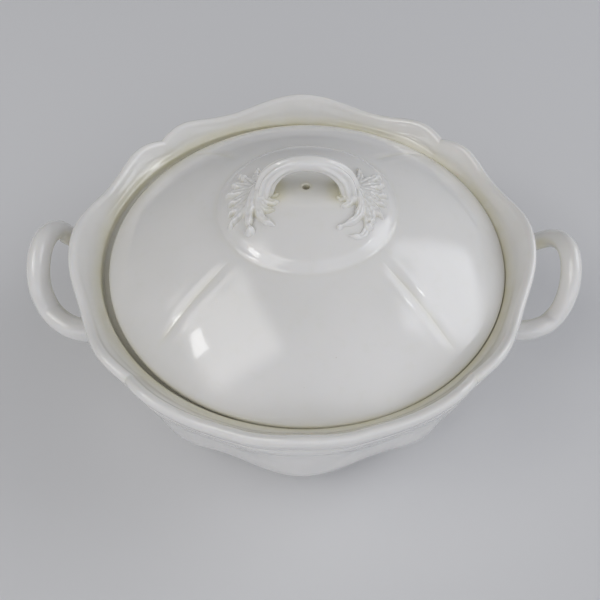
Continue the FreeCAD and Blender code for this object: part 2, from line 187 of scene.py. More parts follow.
def build_bowl():
    degrees = column_angles(BOWL_CORNERS)
    columns = len(degrees)
    angle = np.radians(degrees)
    fold = bowl_fold(degrees)
    rim_r = (RIM_R + lobe_curve(RIM_RADIUS, fold)
             + 0.55 * np.cos(2 * angle) - 0.1 * np.sin(2 * angle))
    rim_z = (RIM_Z + lobe_curve(RIM_HEIGHT, fold)
             + 0.40 * np.cos(2 * angle) + 0.3 * np.cos(angle))
    flute = lobe_curve(BELLY_FLUTE, fold)
    belly = BELLY_R + flute
    neck = 0.5 * (BELLY_R + 5.8 + 0.95 * flute) + 0.5 * (rim_r - 3.6)
    lip_under = rim_r - 2.9
    lip_in = rim_r - LIP - 0.4
    # the seat wall stands close to the lid's edge in front and on the right, further off on the left
    seat_r = (109.31 + 0.4 * np.cos(angle) + 0.275 * np.sin(angle)
              + 0.59 * np.cos(2 * angle) - 0.6 * np.sin(2 * angle))
    # the lower line under the lip is deepest in the middle of each side and fades to the corners
    line = 0.30 * bell(fold, 0.0, 10.0)

    # radius, height
    under = [(8.0, UNDERSIDE_Z), (70.0, UNDERSIDE_Z), (75.6, 4.0), (77.1, 3.0), (77.8, 1.2),
             (78.2, 0.35), (79.2, 0.0), (82.0, 0.0), (82.8, 0.35), (83.2, 1.2), (83.6, 3.6)]
    # radius, height, samples up to the next station: up the outside, over the lip, to the seat
    wall_stations = [
        (84.6, 4.9, 1),
        (86.4, 5.4, 2),
        (BELLY_R - 18.6 + 0.2 * flute, 7.0, 3),
        (BELLY_R - 11.4 + 0.5 * flute, 11.5, 3),
        (BELLY_R - 5.9 + 0.8 * flute, 18.5, 3),
        (belly - 2.2, 28.0, 3),
        (belly, 40.0, 3),
        (belly + 1.7, 52.0, 3),
        (0.35 * (BELLY_R + 3.6 + 0.95 * flute) + 0.65 * (neck - 1.6), rim_z - 25.0, 3),
        (neck - 0.48, rim_z - 20.4, 2),
        (neck - 0.26, rim_z - 19.4, 3),
        (neck - 0.06 - line, rim_z - 18.7, 3),
        (neck + 0.18, rim_z - 18.0, 2),
        (neck + 0.5, rim_z - 16.9, 2),
        (0.7 * neck + 0.3 * lip_under + 0.40, rim_z - 15.5, 2),
        (0.4 * neck + 0.6 * lip_under, rim_z - 14.3, 2),
        (rim_r - 3.80, rim_z - 13.6, 2),
        (rim_r - 3.60, rim_z - 13.0, 3),
        (rim_r - 2.45, rim_z - 11.9, 3),
        (rim_r - 1.55, rim_z - 10.0, 2),
        (rim_r - 0.95, rim_z - 7.8, 2),
        (rim_r - 0.3, rim_z - 5.2, 3),
        (rim_r, rim_z - 3.0, 3),
        (rim_r - 0.5, rim_z - 1.2, 3),
        (rim_r - 1.4, rim_z - 0.25, 3),
        (rim_r - 2.5, rim_z, 3),
        (rim_r - 3.7, rim_z - 0.45, 3),
        (rim_r - 4.8, rim_z - 1.6, 3),
        (lip_in, rim_z - 3.6, 4),
        (0.66 * lip_in + 0.34 * (seat_r + 0.6) + 0.35,
         0.66 * (rim_z - 3.6) + 0.34 * (SEAT_Z + 4.7) - 0.3, 4),
        (0.33 * lip_in + 0.67 * (seat_r + 0.6) + 0.75,
         0.33 * (rim_z - 3.6) + 0.67 * (SEAT_Z + 4.7) - 0.5, 3),
        (seat_r + 0.45, SEAT_Z + 4.5, 2),
        (seat_r, SEAT_Z + 3.5, 2),
        (seat_r - 0.05, SEAT_Z + 1.0, 2),
        (seat_r - 0.45, SEAT_Z, 0)]
    ledge = [(101.2, SEAT_Z), (100.2, SEAT_Z - 0.15), (99.6, SEAT_Z - 0.7),
             (99.5, SEAT_Z - 1.6), (99.7, SEAT_Z - 3.2)]
    inner_r = BELLY_R - WALL
    cavity_stations = [
        ledge[-1], (102.9, SEAT_Z - 8.5), (inner_r + 1.5, 52.0), (inner_r - 0.2, 40.0),
        (inner_r - 2.6, 28.0), (inner_r - 6.9, 18.5), (inner_r - 14.0, 12.2),
        (inner_r - 23.0, 9.2), (inner_r - 37.0, 8.45), (50.0, FLOOR_Z), (24.0, FLOOR_Z),
        (8.0, FLOOR_Z)]
    wall = catmull(rings([station[:2] for station in wall_stations], columns),
                   [station[2] for station in wall_stations])
    cavity = catmull(rings(cavity_stations, columns), [2] * 9 + [1, 1])
    # from the underside's middle out, up the wall, over the lip, down to the ledge and the floor
    profile = np.concatenate([rings(under, columns), wall, rings(ledge, columns), cavity[1:]])
    rows = len(profile)
    radius, z = profile[:, :, 0].copy(), profile[:, :, 1]

    # hand-made unevenness of the outside and the lip, fading to nothing at the foot
    uneven = 0.12 * np.sin(3 * angle + 2.1) + 0.10 * np.sin(7 * angle + 0.3)
    radius += smooth(12.0, 40.0, z) * (radius > 112.2) * uneven
    # the creases at the corners stay crisp down the wall, softened by the glaze near the foot
    row = np.arange(rows)[:, None]
    outside = (row > len(under)) & (row < len(under) + len(wall) * 0.62)
    radius -= (0.25 * bell(fold, 45.0, 1.0) * smooth(16.0, 34.0, z)
               * (1 - smooth(76.0, 82.0, z)) * outside)
    # the upper part leans back and a little to the left
    lean = np.clip((z - 20.0) / 70.0, 0, 1) * (radius > 104.0)
    verts = by_column(radius * np.cos(angle) - 0.35 * lean,
                      radius * np.sin(angle) + 0.95 * lean, z)

    # close the middles of the underside and the floor
    faces = list(grid_faces(columns, rows))
    under_middle = len(verts)
    floor_middle = under_middle + 1
    verts = np.vstack([verts, [[0, 0, UNDERSIDE_Z], [0, 0, FLOOR_Z]]])
    for i in range(columns):
        j = (i + 1) % columns
        faces.append((under_middle, j * rows, i * rows))
        faces.append((floor_middle, i * rows + rows - 1, j * rows + rows - 1))

    # the same quantities for every vertex
    z = verts[:, 2]
    radius = np.hypot(verts[:, 0], verts[:, 1])
    inner = np.append(np.tile(np.arange(rows) >= np.argmax(profile[:, 0, 1]), columns),
                      [False, True])
    fold = np.append(np.repeat(fold, rows), [0, 0])
    below_rim = np.append(np.repeat(rim_z, rows), [0, 0]) - z
    # glaze pools at the foot of the inner rim wall, in the creases and at the foot; the line under
    # the lip is a painted shadow
    pool_and_shade = inner * (radius > 104) * (0.85 * bell(z, 76.6, 3.4) + 0.13 * smooth(90, 75, z))
    pool_and_shade += ~inner * (0.20 * bell(fold, 45.0, 1.1) * smooth(10, 30, z)
                      # the middle term is the painted shadow under the lip
                      + 0.45 * (z > 50) * bell(below_rim, 13.4, 0.5) + 0.30 * bell(z, 5.2, 1.6))
    return make_mesh("bowl", verts, faces, pool_and_shade, bare=smooth(0.9, 0.25, z) * (radius > 60))


# ------------------------------------------------------------------ lid
LID_X = 2.4                             # the lid lies this far to the right in its seat
BOSS_X = 0.8                            # and its round boss this much further
LID_REST_Z = 73.05                      # the face that rests on the bowl's ledge
BOSS_TOP, BOSS_SPHERE = 121.7, 107.5    # height at the middle, radius of curvature
DOME_TOP, DOME_SPHERE = 116.0, 170.7
INSIDE_TOP, INSIDE_SPHERE = 113.6, 141.1


def cap_z(top, sphere, radius):
    """Height of a spherical cap at the given radius."""
    return top - (sphere - np.sqrt(sphere ** 2 - radius ** 2))


def lid_top(radius, degrees):
    """Upper surface: four swelling panels that meet in shallow creases, and the round boss."""
    fold = lid_fold(degrees)
    from_crease = np.radians(45.0 - fold) * radius
    # a touch fuller halfway, steeper towards the edge
    dome = (cap_z(DOME_TOP, DOME_SPHERE, radius)
            + 0.5 * np.sin(np.pi * np.clip((radius - 46.0) / 62.0, 0, 1)) ** 1.5)
    fade = smooth(49.0, 62.0, radius) * (1 - smooth(88.0, 103.0, radius))
    valley = -0.38 * bell(from_crease, 0.0, 10.0) - 0.16 * np.exp(-np.abs(from_crease) / 1.3)
    shoulder = 0.13 * bell(from_crease, 4.4, 2.2)
    panel = 0.26 * np.cos(np.radians(fold) * 4)
    dome = dome + fade * (valley + shoulder + panel)
    # the boss has a rounded edge
    boss = cap_z(BOSS_TOP, BOSS_SPHERE, radius) - 0.7 * smooth(39.8, 43.6, radius) ** 2
    off_boss = smooth(43.0, 46.6, radius)
    return boss * (1 - off_boss) + dome * off_boss


def build_lid():
    degrees = column_angles(LID_CORNERS)
    columns = len(degrees)
    angle = np.radians(degrees)
    # steam hole, from the underside up, with a soft raised lip: radius, height
    hole = [(2.9, 113.5), (2.2, 113.9), (1.85, 114.9), (1.8, 117.0), (1.8, BOSS_TOP - 0.55),
            (1.95, BOSS_TOP - 0.1), (2.35, BOSS_TOP + 0.16)]
    top_radii = np.concatenate([
        [3.0, 4.2, 6.0, 9.0], np.arange(12.0, 38.0, 2.2), np.arange(38.5, 50.6, 0.55),
        np.arange(51.5, 100.0, 1.35), np.arange(100.4, 105.9, 0.75)])
    top = [(r, lid_top(r, degrees) + 0.16 * bell(r, 3.0, 0.8)) for r in top_radii]
    # round the edge, in along the resting face and round the flange below it: radius, height
    edge = [(106.75, 78.45), (107.15, 77.9), (107.38, 77.1), (107.42, 76.0), (107.35, 74.8),
            (107.0, 73.8), (106.2, 73.15), (105.0, LID_REST_Z), (96.6, LID_REST_Z),
            (95.6, 72.9), (95.2, 72.2), (95.2, 67.2), (94.9, 66.2), (94.0, 65.65), (92.8, 65.6),
            (91.6, 65.65), (90.7, 66.2), (90.4, 67.2), (90.25, 73.0), (90.1, 79.0), (88.9, 81.2)]
    inside = [(r, cap_z(INSIDE_TOP, INSIDE_SPHERE, r))
              for r in (85.0, 78.0, 70.0, 60.0, 50.0, 40.0, 30.0, 20.0, 10.0, 5.0)]
    profile = rings(hole + top + edge + inside, columns)
    radius, z = profile[:, :, 0], profile[:, :, 1].copy()
    boss_shift = BOSS_X * (1 - smooth(42.0, 58.0, radius)) * smooth(1.0, 20.0, radius) * (z > 100.0)
    # the edge of a hand-finished lid isn't perfectly flat
    z += smooth(60.0, 100.0, radius) * 0.12 * np.sin(2 * angle + 0.8) * (z > 76.0)
    verts = by_column(radius * np.cos(angle) + LID_X + boss_shift, radius * np.sin(angle), z)

    # the same quantities for every vertex, from the lid's axis
    x, y, z = (verts - [LID_X, 0, 0]).T
    radius = np.hypot(x, y)
    from_crease = np.radians(45.0 - np.repeat(lid_fold(degrees), len(profile))) * radius
    # glaze pools in the creases, round the boss and along the edge
    pool_and_shade = (0.30 * bell(from_crease, 0.0, 1.8) * smooth(52, 64, radius)
            * (1 - smooth(92, 102, radius)))
    pool_and_shade += 0.12 * bell(radius, 46.6, 1.2) * (z > 104)
    pool_and_shade += 0.30 * smooth(106.2, 107.4, radius)
    # it also stands a little thicker beside the loop's feet, and shade is painted on the boss under
    # the loop
    on_boss = z > 112
    for foot_x, foot_y in ((-14.0, -5.0), (-15.5, 3.0), (15.2, -4.6), (15.8, 3.0)):
        pool_and_shade += on_boss * bell(x, foot_x, 4.2) * bell(y, foot_y, 5.0)
    # painted shade on the boss under the loop, where the loop's shadow falls
    pool_and_shade += on_boss * 0.34 * np.exp(-(x / 17.0) ** 4) * bell(y, 0.5, 8.5)
    pool_and_shade *= z > 73.3
    # and inside the steam hole
    pool_and_shade += 0.45 * bell(radius, 2.2, 1.0)
    resting = (np.abs(z - LID_REST_Z) < 0.2) & (radius > 96.0)
    bare = np.maximum(resting * 0.9, (z < 66.0) * 0.8)
    return make_mesh("lid", verts, grid_faces(columns, len(profile), wrap_rows=True), pool_and_shade, bare)


# ------------------------------------------------------------------ swept rods
def rounded_oval(turn, half_width, half_height, power):
    """Slightly squared oval as (across, up) offsets."""
    cos, sin = np.cos(turn), np.sin(turn)
    swell = 1.0 / (np.abs(cos) ** power + np.abs(sin) ** power) ** (1 / power)
    return np.stack([half_width * cos * swell, half_height * sin * swell], -1)


def arc_lengths(path):
    return np.r_[0, np.cumsum(np.linalg.norm(np.diff(path, axis=0), axis=1))]


def sweep(path, sections, up):
    """Rod with capped ends, one section per path point. up: one vector, or one per point."""
    tangents = np.gradient(path, axis=0)
    tangents /= np.linalg.norm(tangents, axis=1)[:, None]
    up = np.asarray(up, float)
    verts = []
    for i, tangent in enumerate(tangents):
        if up.ndim == 2:
            across = np.cross(tangent, up[i])
        elif i == 0:
            across = np.cross(tangent, up)
        else:
            # carried along the rod without twisting
            across = across - tangent * float(across @ tangent)
        across /= np.linalg.norm(across)
        verts.append(path[i] + sections[i][:, :1] * across
                     + sections[i][:, 1:] * np.cross(across, tangent))
    verts = np.concatenate(verts + [path[:1], path[-1:]])
    count, sides = len(path), len(sections[0])
    start_cap, end_cap = len(verts) - 2, len(verts) - 1
    last = (count - 1) * sides
    faces = [(i * sides + j, i * sides + (j + 1) % sides,
              (i + 1) * sides + (j + 1) % sides, (i + 1) * sides + j)
             for i in range(count - 1) for j in range(sides)]
    for j in range(sides):
        k = (j + 1) % sides
        faces.append((start_cap, k, j))
        faces.append((end_cap, last + j, last + k))
    return verts, faces


# ------------------------------------------------------------------ side handles
# Poles of each loop's middle line from its top to one root (the other half mirrors it front to
# back), half thickness, and how much that grows towards the roots. Hand-shaped, not quite alike.
HANDLES = {
    RIGHT: (((148.56, 0.0, 78.76), (146.81, 21.95, 64.82), (141.23, 28.40, 47.53),
             (131.15, 34.14, 49.26), (123.11, 34.98, 47.18), (114.0, 31.69, 43.88),
             (102.9, 29.29, 41.48)), 5.05, 0.60),
    LEFT: (((144.35, 0.0, 82.13), (144.00, 20.63, 71.38), (142.60, 24.78, 60.07),
            (140.75, 28.39, 52.79), (125.84, 39.64, 52.42), (114.0, 33.70, 42.90),
            (102.9, 31.30, 40.50)), 5.68, 1.14),
}
HANDLE_SPAN_STEPS = 10
HANDLE_SIDES = 44


def handle_path(side):
    """Uniform cubic B-spline from root to root."""
    half = np.array(HANDLES[side][0])
    poles = np.vstack([half[1:][::-1] * [1, -1, 1], half])
    poles = np.vstack([2 * poles[0] - poles[1], poles, 2 * poles[-1] - poles[-2]])
    path = []
    for i in range(len(poles) - 3):
        for k in range(HANDLE_SPAN_STEPS):
            share = k / HANDLE_SPAN_STEPS
            weights = np.array([(1 - share) ** 3, 3 * share ** 3 - 6 * share ** 2 + 4,
                                -3 * share ** 3 + 3 * share ** 2 + 3 * share + 1, share ** 3])
            path.append(weights / 6 @ poles[i:i + 4])
    path = np.array(path + [poles[-2]])
    return path * [-1, -1, 1] if side == LEFT else path


def build_handle(name, side):
    path = handle_path(side)
    thickness, growth = HANDLES[side][1:]
    turn = np.linspace(0, 2 * math.pi, HANDLE_SIDES, endpoint=False)
    along = arc_lengths(path)
    sections = []
    for i, distance in enumerate(along):
        share = i / (len(path) - 1)
        from_root = min(distance, along[-1] - distance)
        # the luted joint swells where the rod meets the wall
        thick = (thickness + growth * max(0.0, abs(2 * share - 1) - 0.45) / 0.55
                 + 1.5 * bell(from_root, 1.5, 3.2))
        uneven = 1.0 + 0.012 * math.sin(9 * share * math.pi)
        sections.append(rounded_oval(turn, thick * 1.02, thick * 0.98, 2.4) * uneven)
    verts, faces = sweep(path, sections, up=(0, 0, 1.0))

    # thick glaze on the side that faces the hole, and at the roots
    middle_line = np.vstack([np.repeat(path, HANDLE_SIDES, axis=0), path[0], path[-1]])
    outward = verts - middle_line
    outward /= np.linalg.norm(outward, axis=1)[:, None] + 1e-9
    to_hole = np.array([side * 131.0, 0.0, 46.0]) - middle_line
    to_hole /= np.linalg.norm(to_hole, axis=1)[:, None]
    facing = (outward * to_hole).sum(1)
    root = smooth(126.0, 114.0, np.hypot(verts[:, 0], verts[:, 1]))
    pool_and_shade = 0.85 * smooth(0.25, 0.90, facing) + 0.55 * root * smooth(-0.2, 0.7, facing)
    return make_mesh(name, verts, faces, pool_and_shade)


# ------------------------------------------------------------------ finial loop
LOOP_FOOT_Z = 115.6
LOOP_RISE = 20.9
LOOP_REACH_RIGHT, LOOP_REACH_LEFT = 22.0, 20.9
LOOP_POWER = 2.1        # 2 would be an ellipse, more is squarer
LOOP_RINGS, LOOP_SIDES = 110, 84


def build_loop():
    arch = np.radians(np.linspace(0, 180, 97))
    cos, sin = np.cos(arch), np.sin(arch)
    reach = np.where(cos > 0, LOOP_REACH_RIGHT, LOOP_REACH_LEFT)
    points = np.stack([reach * np.copysign(np.abs(cos) ** (2 / LOOP_POWER), cos), 0 * cos,
                       LOOP_FOOT_Z + LOOP_RISE * np.abs(sin) ** (2 / LOOP_POWER)], -1)
    # evenly spaced, then eased
    along = arc_lengths(points)
    length = along[-1]
    even = np.linspace(0, length, LOOP_RINGS)
    path = np.stack([np.interp(even, along, points[:, i]) for i in range(3)], -1)
    for _ in range(3):
        path[1:-1] = 0.25 * path[:-2] + 0.5 * path[1:-1] + 0.25 * path[2:]
    # the feet lean a little towards the front
    path[:, 1] -= 2.6 * smooth(128.0, 116.0, path[:, 2])
    path[:, 0] += LID_X

    turn = np.linspace(0, 2 * math.pi, LOOP_SIDES, endpoint=False)
    sections = []
    for i in range(LOOP_RINGS):
        share = i / (LOOP_RINGS - 1)
        from_foot = min(share, 1 - share) * length
        low = smooth(26.0, 6.0, from_foot)       # 1 at the feet, 0 at the crown
        # eight long flutes, deeper towards the feet and on the outer and front sides
        flute = (np.cos(turn * 8 + 0.8 * math.sin(share * 5.0))
                 * (0.05 + 0.55 * smooth(30.0, 12.0, from_foot))
                 * np.clip(0.45 + 0.8 * np.sin(turn) - 0.5 * np.cos(turn), 0, 1))
        # thicker front to back than in the arch's plane
        sections.append(rounded_oval(turn, 3.95 + 2.3 * low + flute, 3.85 + 0.9 * low + flute,
                                     2.2))
    outward = path - [LID_X, 0, 112.0]
    outward /= np.linalg.norm(outward, axis=1)[:, None]
    verts, faces = sweep(path, sections, up=outward)
    return make_mesh("finial_arch", verts, faces, 0.55 * smooth(124.0, 116.5, verts[:, 2]))


# ------------------------------------------------------------------ leaf sprays
# Each leaf: base, middle and tip of its midrib (outwards, towards the back) in mm from the
# lid's axis, half width, height at the base and at the tip.
LEAVES = {
    LEFT: [
        ((25.5, 2.0), (29.5, 8.0), (33.8, 14.0), 2.3, 2.6, 2.7),
        ((26.5, 1.2), (32.0, 5.0), (38.2, 7.2), 2.3, 2.6, 2.8),
        ((27.0, 0.0), (33.0, 1.0), (40.6, 0.2), 2.3, 2.6, 2.7),
        ((27.0, -1.4), (32.4, -3.6), (38.6, -6.8), 2.2, 2.6, 2.6),
        ((27.0, -3.0), (32.2, -8.2), (38.0, -13.4), 2.2, 2.6, 2.6),
        ((26.6, -5.0), (32.0, -12.8), (36.4, -19.0), 2.1, 2.8, 2.8),
        ((25.4, -1.0), (27.6, -12.5), (26.7, -23.2), 2.3, 5.2, 2.9),
        ((24.0, -7.0), (21.6, -17.0), (14.4, -23.4), 1.7, 3.4, 1.9),
        ((22.2, -4.5), (17.8, -9.0), (12.8, -9.6), 1.9, 3.2, 1.5),
        ((22.8, -7.5), (19.4, -13.0), (14.8, -14.4), 1.7, 3.0, 1.5),
        ((21.4, -1.0), (17.0, -4.6), (13.2, -4.6), 1.7, 3.0, 1.4),
        ((24.6, 3.0), (25.8, 10.0), (25.0, 16.4), 1.8, 2.8, 2.2),
        ((21.6, 3.0), (18.4, 7.6), (14.6, 9.2), 1.7, 2.6, 1.5),
    ],
    RIGHT: [
        ((25.8, 2.2), (32.0, 9.6), (37.6, 14.4), 2.3, 2.6, 2.8),
        ((26.8, 1.2), (33.6, 5.8), (40.2, 7.6), 2.4, 2.6, 2.9),
        ((27.0, 0.0), (34.0, 1.0), (40.8, -0.6), 2.3, 2.6, 2.8),
        ((27.0, -1.4), (33.4, -3.6), (39.4, -7.2), 2.3, 2.6, 2.7),
        ((27.0, -3.0), (32.6, -8.6), (37.6, -14.8), 2.4, 2.6, 2.7),
        ((26.4, -5.0), (31.0, -13.0), (31.2, -20.4), 2.6, 2.9, 2.6),
        ((25.0, -1.5), (25.8, -15.0), (16.2, -23.8), 1.9, 5.0, 2.0),
        ((28.4, -16.0), (27.6, -25.8), (19.0, -27.8), 1.5, 2.2, 1.6),
        ((22.2, -3.0), (18.2, -6.4), (14.4, -6.6), 1.8, 3.2, 1.5),
        ((22.8, -6.5), (19.8, -10.6), (16.6, -11.6), 1.6, 3.0, 1.4),
        ((24.8, 3.6), (27.2, 11.0), (27.0, 17.4), 1.8, 2.8, 2.3),
        ((21.6, 3.0), (18.2, 7.4), (14.4, 9.0), 1.7, 2.6, 1.5),
    ],
}
# Each bead: centre, radius, height
BEADS = {
    LEFT: [((26.6, -24.4), 2.3, 3.3), ((36.6, -19.2), 1.5, 2.5), ((34.0, 14.2), 1.5, 2.5),
           ((25.0, 16.8), 1.3, 2.0)],
    RIGHT: [((30.4, -21.4), 2.0, 2.9), ((16.0, -24.0), 1.5, 2.0), ((37.8, 14.6), 1.5, 2.5),
            ((27.0, 17.8), 1.3, 2.0)],
}
BURIED = -2.0           # height of the relief where there is none
MIDRIB_STEPS = 48
SPRAY_GRID = 0.26


def merge(relief, shape, blend):
    """The higher of two reliefs, with their meeting rounded over the height blend."""
    share = np.clip(0.5 + 0.5 * (shape - relief) / blend, 0, 1)
    return relief * (1 - share) + shape * share + blend * share * (1 - share)


def mound(distance, height, skirt):
    """Half an ellipsoid up to distance 1, sinking out of sight by distance skirt."""
    return np.where(distance < 1, height * np.sqrt(np.clip(1 - distance ** 2, 0, 1)),
                    BURIED * smooth(1.0, skirt, distance))


def leaf(x, y, number, base, middle, tip, half_width, base_height, tip_height):
    base, middle, tip = np.array([base, middle, tip])
    bend = 2 * middle - 0.5 * (base + tip)
    # nearest point of the midrib: distance, share of the way to the tip, offset to the side
    nearest = np.full(x.shape, 1e9)
    along = np.zeros(x.shape)
    aside = np.zeros(x.shape)
    for k in range(MIDRIB_STEPS + 1):
        share = k / MIDRIB_STEPS
        point = (1 - share) ** 2 * base + 2 * share * (1 - share) * bend + share * share * tip
        tangent = 2 * (1 - share) * (bend - base) + 2 * share * (tip - bend)
        tangent = tangent / (np.linalg.norm(tangent) + 1e-9)
        off_x, off_y = x - point[0], y - point[1]
        distance = np.hypot(off_x, off_y)
        closer = distance < nearest
        nearest = np.where(closer, distance, nearest)
        along = np.where(closer, share, along)
        aside = np.where(closer, off_y * tangent[0] - off_x * tangent[1], aside)
    width = (half_width * (0.42 + 0.75 * np.sin(np.pi * along ** 0.85) ** 0.8)
             * (1 - 0.62 * smooth(0.80, 1.0, along)))
    # lobed edge of an acanthus leaflet
    width = width * (1 + 0.10 * np.sin(along * 17.0 + number))
    distance = nearest / width
    body = np.sqrt(np.clip(1 - distance ** 2.4, 0, 1))
    crest = (base_height + (tip_height - base_height) * along
             + 0.9 * smooth(0.62, 0.92, along) - 0.35 * np.sin(np.pi * along))
    midrib = (0.75 * bell(aside, 0.0, 0.42) * smooth(0.02, 0.2, along)
              * (1 - smooth(0.85, 1.0, along)))
    veins = (0.22 * np.cos(along * 34 + np.abs(aside) * 2.6) * body
             * smooth(0.15, 0.4, along) * (np.abs(aside) > 0.3))
    return np.where(distance < 1.0, crest * body - midrib - veins,
                    BURIED * smooth(1.0, 1.5, distance))


def leaf_relief(x, y, side):
    """Height of the pressed leaves above the boss at (x, y), x counted outwards."""
    relief = np.full(x.shape, BURIED)
    for number, entry in enumerate(LEAVES[side]):
        relief = merge(relief, leaf(x, y, number, *entry), blend=0.35)
    for (bead_x, bead_y), radius, height in BEADS[side]:
        distance = np.hypot(x - bead_x, y - bead_y) / radius
        relief = merge(relief, mound(distance, height, skirt=1.6), blend=0.4)
    # ribbed calyx that the loop's foot stands in
    distance = np.hypot((x - 22.6) / 6.4, (y + 1.6) / 8.0)
    ribs = 0.25 * np.cos(np.arctan2(y, x - 22.6) * 11) * (distance < 1)
    return merge(relief, mound(distance, 5.0, skirt=1.4) - ribs, blend=0.8)


def blur(grid, times):
    for _ in range(times):
        soft = grid.copy()
        soft[1:-1, 1:-1] = (
            grid[1:-1, 1:-1] * 4
            + 2 * (grid[:-2, 1:-1] + grid[2:, 1:-1] + grid[1:-1, :-2] + grid[1:-1, 2:])
            + grid[:-2, :-2] + grid[:-2, 2:] + grid[2:, :-2] + grid[2:, 2:]) / 16
        grid = soft
    return grid


def build_spray(name, side):
    x, y = np.meshgrid(np.arange(9.5, 44.2, SPRAY_GRID), np.arange(-31.5, 22.0, SPRAY_GRID),
                       indexing="ij")
    relief = blur(leaf_relief(x, y, side), 4)
    hollow = np.clip((blur(relief, 26) - relief) * 0.55, 0, 1)
    radius = np.hypot(x, y)
    ground = np.minimum(lid_top(radius, 0.0), cap_z(BOSS_TOP, BOSS_SPHERE, radius) + 0.2)

    # the kept region grows one step so that its border lies under the boss's surface
    raised = relief > -0.55
    kept = raised.copy()
    kept[1:] |= raised[:-1]
    kept[:-1] |= raised[1:]
    kept[:, 1:] |= raised[:, :-1]
    kept[:, :-1] |= raised[:, 1:]
    quads = kept[:-1, :-1] & kept[1:, :-1] & kept[:-1, 1:] & kept[1:, 1:]
    used = np.zeros(x.shape, bool)
    for rows in (slice(None, -1), slice(1, None)):
        for columns in (slice(None, -1), slice(1, None)):
            used[rows, columns] |= quads
    count = int(used.sum())
    index = -np.ones(x.shape, int)
    index[used] = np.arange(count)

    # top and bottom sheets, joined along the border
    plan = [side * x[used] + LID_X, y[used]]
    verts = np.vstack([np.stack([*plan, (ground + 0.92 * relief)[used]], -1),
                       np.stack([*plan, ground[used] - 1.6], -1)])
    faces = []
    edges = []
    for i, j in zip(*np.nonzero(quads)):
        quad = (index[i, j], index[i + 1, j], index[i + 1, j + 1], index[i, j + 1])
        if side == LEFT:
            quad = (quad[0], *quad[:0:-1])
        faces.append(quad)
        faces.append(tuple(corner + count for corner in quad[::-1]))
        edges += zip(quad, quad[1:] + quad[:1])
    known = set(edges)
    for start, end in edges:
        if (end, start) not in known:
            faces.append((end, start, start + count, end + count))

    # straw-coloured where the glaze ran together on the leaves inside the loop's foot
    straw = 0.95 * bell(x, 14.8, 4.0) * bell(y, -4.4, 5.0)
    if side == LEFT:
        straw += 0.60 * bell(x, 16.5, 3.4) * bell(y, -15.0, 3.6)
    return make_mesh(name, verts, faces, np.append((hollow + straw)[used], np.zeros(count)))


# ------------------------------------------------------------------ materials
class Nodes:
    """Adds nodes to a tree. An input is given as a value or as the socket that feeds it."""

    def __init__(self, tree):
        self.tree = tree

    def add(self, kind, inputs=None, **settings):
        node = self.tree.nodes.new(kind)
        for key, value in settings.items():
            setattr(node, key, value)
        for key, value in (inputs or {}).items():
            if isinstance(value, bpy.types.NodeSocket):
                self.tree.links.new(value, node.inputs[key])
            else:
                node.inputs[key].default_value = value
        return node

    def math(self, operation, first, second, clamp=False):
        return self.add("ShaderNodeMath", {0: first, 1: second},
                        operation=operation, use_clamp=clamp).outputs[0]

    def ramp(self, value, start, end, low=0.0, high=1.0):
        """Smooth step from low at start to high at end."""
        return self.add("ShaderNodeMapRange",
                        {"Value": value, "From Min": start, "From Max": end,
                         "To Min": low, "To Max": high},
                        interpolation_type="SMOOTHSTEP").outputs["Result"]

    def mix(self, factor, first, second):
        # 6, 7 and output 2 are the colour sockets
        return self.add("ShaderNodeMix", {0: factor, 6: first, 7: second},
                        data_type="RGBA").outputs[2]


